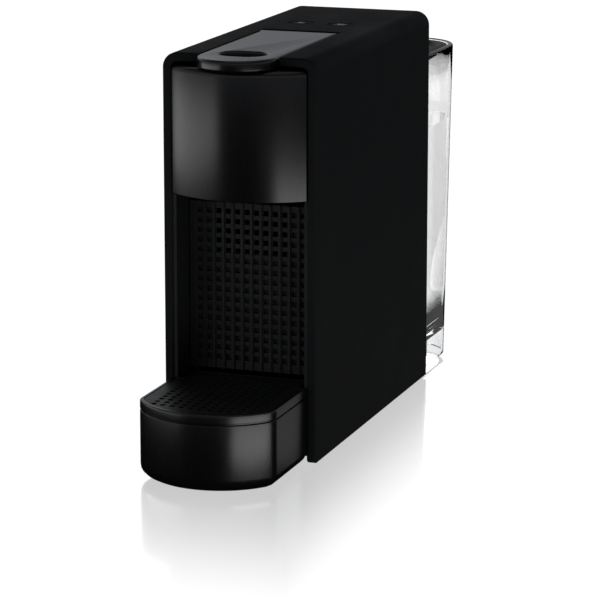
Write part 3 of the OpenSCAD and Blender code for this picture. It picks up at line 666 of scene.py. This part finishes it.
head_low, head_high = span("head_cover")
head_wall = 2.2 * mm
gloss_black = gloss_black_abs()


def head():
    """The tub: a rounded stack less a smaller one, and less the outlet's hole."""
    bulge = shell_low[1] - head_low[1]
    radius = (head_high[0] ** 2 + bulge ** 2) / (2 * bulge)

    def plan(inset):
        return bulged_plan(head_low, head_high, radius, inset, head_high[1])

    def hollow_plan(inset):
        return bulged_plan(head_low, head_high, radius, inset + head_wall, head_high[1] + head_wall)

    foot_edge, top_edge, foot_fillet, top_fillet = np.array([0.5, 3, 1, 2]) * mm
    tub = solid("head", rounded_stack(plan, head_low[2], head_high[2], foot_edge, top_edge))
    floor, ceiling = head_low[2] + head_wall, head_high[2] - head_wall
    hollow = rounded_stack(hollow_plan, floor, ceiling, foot_fillet, top_fillet)
    spout_low, spout_high = span("outlet_spout")
    hole_radius = 7.5 * mm
    hole = circle((spout_low + spout_high)[:2] / 2, hole_radius)
    through = prism(hole, head_low[2] - head_wall, head_low[2] + 2 * head_wall)
    combine(tub, "DIFFERENCE", solid("hollow", hollow), solid("hole", through))
    return tub


head_cover = head()
soften(head_cover, 0.3 * mm)
head_cover.data.materials.append(gloss_black)
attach(head_cover, "machine")
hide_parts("head_cover")


# ---- Lever ---------------------------------------------------------------------------------------
# The lever lies flush in the shell's top and opens the brewing group: gloss black ABS with a ribbed,
# hollow underside, a finger hole near its round nose and a knuckle that is pressed on the shaft.

lever_width = lever_high[0] - lever_low[0]
lever_plate = 5.5 * mm
lever_top = shell_high[2]
shaft_low, shaft_high = span("lever_shaft")
hinge_y, hinge_z = ((shaft_low + shaft_high) / 2)[1:]


def lever_plan(inset):
    """A half circle for the nose, and straight sides back to the hinge."""
    half = lever_width / 2 - inset
    nose = arc((0, lever_low[1] + lever_width / 2), half, 180, 360, 41)
    return np.concatenate([nose, [[half, hinge_y], [-half, hinge_y]]])


def finger_hole(below):
    """An oval prism near the nose. Its upper edge flares out along a quarter circle."""
    width, depth, corner, edge = np.array([24, 19, 9.4, 1]) * mm
    centre = (0, shell_low[1] + 6.7 * mm)
    turn = np.radians(np.linspace(0, 90, 5))
    flare = [(0, below)]
    flare += [(edge * (1 - np.cos(t)), lever_top - edge * (1 - np.sin(t))) for t in turn]
    flare += [(edge, lever_top + lever_plate)]
    return loft([flat(rounded(width + 2 * out, depth + 2 * out, corner + out, centre, steps=14), z)
                 for out, z in flare])


def lever_body():
    """The plate and its knuckle, less the hollow, the finger hole and the slots of the cam plates."""
    foot_edge, top_edge = 1 * mm, 1.6 * mm
    arm = rounded_stack(lever_plan, lever_top - lever_plate, lever_top, foot_edge, top_edge)
    plate = solid("lever_arm", arm)
    round_end = circle((hinge_y, hinge_z), lever_top - hinge_z)
    knuckle = loft([sideways(round_end, x) for x in (lever_low[0], lever_high[0])])
    combine(plate, "UNION", solid("knuckle", knuckle))
    rib, skin, nose, heel = np.array([2.5, 3, 24, 7.5]) * mm
    below = lever_top - 2 * lever_plate
    under = box((lever_low[0] + rib, shell_low[1] + nose, below),
                (lever_high[0] - rib, hinge_y - heel, lever_top - skin))
    slots = []
    for side in ("left", "right"):
        low, high = span("cam_plate_" + side)
        room = np.array([0, 1, 0]) * mm
        slots.append(box(low - room, high + room + np.array([0, 0, 0.1]) * mm))
    combine(plate, "DIFFERENCE", solid("under", under), solid("finger", finger_hole(below)),
            solid("slots", *slots))
    return plate


dress(stainless, "lever_shaft", "cam_plate_left", "cam_plate_right")
lever = lever_body()
shade(lever)
lever.data.materials.append(gloss_black)
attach(lever, "lever")
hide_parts("lever")


# ---- Buttons -------------------------------------------------------------------------------------
# Two caps that stand flush in the shell's top, one for a small cup and one for a large one: matt black
# ABS, held from below by a flange, with a stem that reaches the switch. A pale cup is printed on each.

def button(name, body, size):
    """Stem, flange and cap in one stack of rounded outlines, with a slightly domed top."""
    low, high = span(name)
    centre, flange = (low + high)[:2] / 2, (high - low)[:2]
    cap = flange - 2.6 * mm
    stem = np.array([4.4, 4.4]) * mm
    stem_corner, flange_corner, cap_corner = np.array([2.19, 2.5, 2.2]) * mm
    flange_top = shell_high[2] - shell_wall - 0.3 * mm
    flange_foot = flange_top - 1.5 * mm
    print_depth = 0.12 * mm
    top = high[2] - print_depth
    levels = [(stem, stem_corner, low[2]), (stem, stem_corner, flange_foot),
              (flange, flange_corner, flange_foot), (flange, flange_corner, flange_top),
              (cap, cap_corner, flange_top), (cap, cap_corner, top - 0.6 * mm),
              (cap - 0.4 * mm, 2.0 * mm, top - 0.2 * mm), (cap - 1.2 * mm, 1.6 * mm, top)]
    made = solid(name + "_cap", loft([flat(rounded(*s, r, centre), z) for s, r, z in levels]))
    shade(made, angle=50)
    made.data.materials.append(matt_black)
    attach(made, body)
    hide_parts(name)
    printed_cup(name, body, centre, top, high[2], size)


def printed_cup(name, body, centre, low, high, size):
    """A bowl that narrows towards its foot, a ring for its handle and a saucer line below it."""
    width, depth = 4.2 * mm * size, 3.0 * mm * size
    side = np.linspace(-1, 1, 17)
    foot = np.stack([side * width / 2 * 0.62, -depth / 2 * (1 - side ** 4 * 0.4)], axis=1)
    bowl = np.concatenate([foot, [[width / 2, depth / 2], [-width / 2, depth / 2]]]) + centre
    grip = centre + np.array([width * 0.55, depth * 0.12])
    handle, inner = circle(grip, depth * 0.26, steps=24), circle(grip, depth * 0.15, steps=24)
    below = centre - np.array([0, depth * 0.5 + 0.7 * mm])
    saucer = rounded(width * 1.35, 0.45 * mm, 0.2 * mm, below, steps=4)
    rings = [flat(handle, low), flat(handle, high), flat(inner, high), flat(inner, low)]
    made = solid(name + "_mark", prism(bowl, low, high), loft(rings, closed=True),
                 prism(saucer, low, high))
    made.data.materials.append(white_ink)
    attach(made, body)


def printed_ink():
    """Pale grey pad-printing ink: it lies in a thin, slightly uneven film, so its white breaks up a
    little."""
    made, tree, shader = material("pale pad-printing ink", Roughness=0.5, IOR=1.48)
    film = noise(tree, 0.4 * mm, detail=3)
    mottle(tree, shader, film.outputs[0], "#8E9293", "#B9BCBC")
    return made


white_ink = printed_ink()
button("button_small_cup", "small_cup_button", 0.85)
button("button_large_cup", "large_cup_button", 1.1)


# ---- Recess and capsule container ----------------------------------------------------------------
# Below the head the recess is lined with satin black polypropylene. The used-capsule container closes
# it at the back: a tub behind a ribbed grille with rows of square drain holes.

def satin_black_pp():
    """Satin black polypropylene from a vapour-blasted tool. Its 0.5 mm texture is drawn at its real
    size, and it keeps a soft, greyish sheen that shows on ribs and edges."""
    made, tree, shader = material("satin black polypropylene", IOR=1.49, Base_Color=linear("#0C0D0D"))
    texture = noise(tree, 0.5 * mm)
    film = noise(tree, 30 * mm, detail=4)
    vary(tree, shader, "Roughness", film.outputs[0], 0.38, 0.5)
    relief(tree, shader, texture.outputs[0], 0.02 * mm)
    return made


satin_black = satin_black_pp()
dress(satin_black, "recess_liner", "capsule_container", "drip_grid")
grille_low, grille_high = span("container_grille")


def grille():
    """A plate with upright ribs on its front, less a square hole in each field between the ribs."""
    pitch, rib_width, rib_depth, hole = np.array([5, 1.1, 0.9, 2.7]) * mm
    half, (front, foot) = grille_high[0], grille_low[1:]
    back, top = grille_high[1:]
    face = front + rib_depth
    ribs = np.arange(-6, 7) * pitch
    columns = ribs[:-1] + pitch / 2
    rows = np.arange(foot + 6 * mm, top - 3 * mm, pitch)
    plate = solid("grille", box((-half, face, foot), grille_high))
    holes = [box((x - hole / 2, front, z - hole / 2), (x + hole / 2, back + rib_depth, z + hole / 2))
             for x in columns for z in rows]
    bars = [box((x - rib_width / 2, front, foot), (x + rib_width / 2, face + rib_depth, top))
            for x in ribs]
    combine(plate, "DIFFERENCE", solid("holes", *holes))
    combine(plate, "UNION", solid("bars", *bars))
    return plate


container_grille = grille()
container_grille.data.materials.append(satin_black)
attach(container_grille, "container")
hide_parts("container_grille")


# ---- Drip tray -----------------------------------------------------------------------------------
# A deep tub of gloss black ABS, with a rolled-in lower edge and a curved nose that stands in front of
# the shell. A rim piece of the same ABS sits on it, and a pierced satin black grid lies in the rim.

base_low, base_high = span("drip_base")
support_low, support_high = span("cup_support")
tray_wall = 2.4 * mm
tray_bow = 20 * mm
tray_side = base_high[0]
tray_radius = (tray_side ** 2 + tray_bow ** 2) / (2 * tray_bow)
tray_corner = 9 * mm
container_overhang = 1.8 * mm
tail_side = span("capsule_container")[1][0] - container_overhang
shell_gap = 0.3 * mm


def tray_plan(inset, back):
    """A round nose that runs into the straight sides on a smaller arc, and a narrower tail inside the
    shell. The arcs' centres stay put, so an inset only shortens their radii."""
    half, tail = tray_side - inset, tail_side - inset
    inner = np.array([tray_side, tray_radius]) - tray_corner
    reach = np.degrees(np.arcsin(inner[0] / inner[1]))
    middle = base_low[1] + tray_radius
    corner = (inner[0], middle - np.sqrt(inner[1] ** 2 - inner[0] ** 2))
    small = max(tray_corner - inset, 0.05 * mm)
    left = arc((-corner[0], corner[1]), small, 180, 270 - reach, 9)
    nose = arc((0, middle), tray_radius - inset, 270 - reach, 270 + reach, 53)
    right = arc(corner, small, 270 + reach, 360, 9)
    neck, end = shell_low[1] - shell_gap - inset, back - inset
    rest = [[half, neck], [tail, neck], [tail, end], [-tail, end], [-tail, neck], [-half, neck]]
    return np.concatenate([left[:-1], nose, right[1:], rest])


def tub(name):
    """The tub: a stack with a rolled-in foot and two raised cheeks for the container, less its
    cavity."""
    top, floor = support_low[2], base_low[2] + 2 * mm
    foot, edge, fillet, sharp = np.array([6.5, 0.3, 5, 0.01]) * mm

    def outside(inset):
        return tray_plan(inset, base_high[1])

    def inside(inset):
        return tray_plan(inset + tray_wall, base_high[1])

    made = solid(name, rounded_stack(outside, base_low[2], top, foot, edge))
    cheeks = box((-tail_side, grille_low[1], floor), (tail_side, base_high[1], base_high[2]))
    combine(made, "UNION", solid("cheeks", cheeks))
    cavity = rounded_stack(inside, floor, base_high[2] + tray_wall, fillet, sharp)
    combine(made, "DIFFERENCE", solid("cavity", cavity))
    return made


def rim_ring(name):
    """A closed ring of plans: spigot, outer side, rounded top edge, ledge for the grid and inner
    side."""
    low, high, back = support_low[2], support_high[2], support_high[1]
    seam, edge, chamfer, spigot, border, inner, ledge = np.array([0.8, 0.9, 0.2, 1, 2, 4, 2.4]) * mm
    turn = np.radians(np.linspace(0, 90, 5))
    levels = [(spigot, low), (spigot, low + seam), (chamfer, low + seam), (0, low + seam + chamfer)]
    levels += [(edge * (1 - np.cos(t)), high - edge * (1 - np.sin(t))) for t in turn]
    levels += [(border, high), (border, high - ledge), (inner, high - ledge), (inner, low)]
    return solid(name, loft([flat(tray_plan(inset, back), z) for inset, z in levels], closed=True))


drip_base = tub("drip_tub")
soften(drip_base, 0.3 * mm, angle=25)
drip_base.data.materials.append(gloss_black)
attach(drip_base, "drip_tray")
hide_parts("drip_base")
cup_support = rim_ring("cup_rim")
soften(cup_support, 0.15 * mm, angle=28)
cup_support.data.materials.append(gloss_black)
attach(cup_support, "cup_support")
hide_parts("cup_support")


# ---- Water tank ----------------------------------------------------------------------------------
# A tall clear jug behind the shell, injection moulded in SAN. It narrows towards its foot for the draft,
# and its floor stands above a skirt that drops over the dock. A satin black lid lies in its rim.

def clear(name, index, start, end, grey):
    """A clear material. Between two turns away from the eye its colour goes from white to a grey,
    because the path through it grows long there."""
    made, tree, shader = material(name, IOR=index, Roughness=0.0, Transmission_Weight=1.0)
    turned = add(tree, "LayerWeight", {"Blend": 0.5})
    length = add(tree, "MapRange", {1: start, 2: end}, {0: turned.outputs["Facing"]})
    tone = add(tree, "Mix", {6: linear("#FFFFFF"), 7: linear(grey)}, {0: length.outputs[0]},
               data_type="RGBA")
    tree.links.new(tone.outputs[2], shader.inputs["Base Color"])
    return made, tree, shader


def clear_san():
    """Clear SAN: glass-like, with the slow waves that a moulded wall has."""
    made, tree, shader = clear("clear SAN, moulded", 1.49, 0.74, 0.97, "#8F9394")
    wave = noise(tree, 22 * mm, detail=1)
    relief(tree, shader, wave.outputs[0], 0.03 * mm)
    return made


def still_water():
    """Tap water at rest: clear, with hardly a ripple."""
    made, tree, shader = clear("tap water", 1.333, 0.76, 0.95, "#7D8182")
    ripple = noise(tree, 30 * mm, detail=1)
    relief(tree, shader, ripple.outputs[0], 0.02 * mm)
    return made


tank_low, tank_high = span("water_tank")
lid_high = span("tank_lid")[1]
tank_wall = 2.7 * mm
tank_corner = 25 * mm
tank_draft = 8 * mm
side_draft = 1.5 * mm
tank_floor = span("tank_filter")[0][2]
water_level = 138 * mm
floor_fillet = 4 * mm


def tank_plan(inset, z):
    """A flat front and two round rear corners. The plan shrinks towards the foot by the moulding's
    draft."""
    drop = (tank_high[2] - z) / (tank_high[2] - tank_low[2])
    half = tank_high[0] - inset - side_draft * drop
    front, back = tank_low[1] + inset, tank_high[1] - inset - tank_draft * drop
    radius = tank_corner - inset
    right = arc((half - radius, back - radius), radius, 0, 90, 17)
    left = arc((radius - half, back - radius), radius, 90, 180, 17)
    return flat(np.concatenate([[[half, front]], right, left, [[-half, front]]]), z)


def tank_body(name):
    """From the floor's underside down the skirt, up the outside, over the rim and down to the floor."""
    under, foot, top = tank_floor - tank_wall, tank_low[2], tank_high[2]
    levels = [(tank_wall, under), (tank_wall, foot + 0.3 * mm), (tank_wall - 0.4 * mm, foot),
              (0.4 * mm, foot), (0, foot + 0.4 * mm)]
    levels += [(0, z) for z in np.linspace(foot + 8 * mm, top - 1 * mm, 9)]
    levels += [(0.3 * mm, top - 0.3 * mm), (1 * mm, top), (tank_wall - 0.6 * mm, top),
               (tank_wall, top - 0.5 * mm)]
    levels += [(tank_wall, z) for z in np.linspace(top - 6 * mm, tank_floor + floor_fillet, 9)]
    levels += [(tank_wall + 1.2 * mm, tank_floor + 1.2 * mm), (tank_wall + floor_fillet, tank_floor)]
    made = solid(name, loft([tank_plan(inset, z) for inset, z in levels]))
    dock_half = 29 * mm
    mouth = box((-dock_half, tank_low[1] - 1 * mm, 0), (dock_half, tank_low[1] + 5 * mm, under))
    valve_low, valve_high = span("valve_poppet")
    bore_radius, beyond = 3.3 * mm, 5 * mm
    bore = circle((valve_low + valve_high)[:2] / 2, bore_radius, steps=32)
    hole = prism(bore, under - beyond, tank_floor + beyond)
    combine(made, "DIFFERENCE", solid("mouth", mouth), solid("hole", hole))
    return made


def water_body(name):
    """The tank's inside, a hair smaller, up to the water level."""
    skin = 0.06 * mm
    side = tank_wall + skin
    levels = [(tank_wall + floor_fillet, tank_floor + skin), (side + 1.2 * mm, tank_floor + 1.2 * mm),
              (side, tank_floor + floor_fillet), (side, water_level)]
    made = solid(name, loft([tank_plan(inset, z) for inset, z in levels]))
    filter_low, filter_high = span("tank_filter")
    room = 0.1 * mm
    centre, radius = (filter_low + filter_high)[:2] / 2, (filter_high[0] - filter_low[0]) / 2 + room
    column = prism(circle(centre, radius), tank_floor - 1 * mm, filter_high[2] + room)
    combine(made, "DIFFERENCE", solid("column", column))
    return made


def lid_body(name):
    """A shallow plate with rolled edges and a raised border, cut to the tank's mouth."""
    play, border, thickness, edge = np.array([0.3, 5, 4.2, 1]) * mm
    side, field = tank_wall + play, tank_wall + play + border
    low, high = lid_high[2] - thickness, lid_high[2]
    levels = [(side + edge, low), (side, low + 0.8 * mm), (side, high - edge),
              (side + 0.3 * mm, high - 0.3 * mm), (side + edge, high), (field, high),
              (field + 1.2 * mm, high - 1.6 * mm)]
    return solid(name, loft([tank_plan(inset, z) for inset, z in levels]))


dress(acetal, "tank_filter", "valve_poppet")
clear_plastic = clear_san()
water = still_water()
water_tank = tank_body("tank_jug")
shade(water_tank)
water_tank.data.materials.append(clear_plastic)
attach(water_tank, "tank")
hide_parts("water_tank")
tank_water = water_body("tank_water")
shade(tank_water)
tank_water.data.materials.append(water)
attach(tank_water, "tank")
tank_lid = lid_body("jug_lid")
soften(tank_lid, 0.2 * mm, angle=40)
tank_lid.data.materials.append(satin_black)
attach(tank_lid, "lid")
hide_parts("tank_lid")
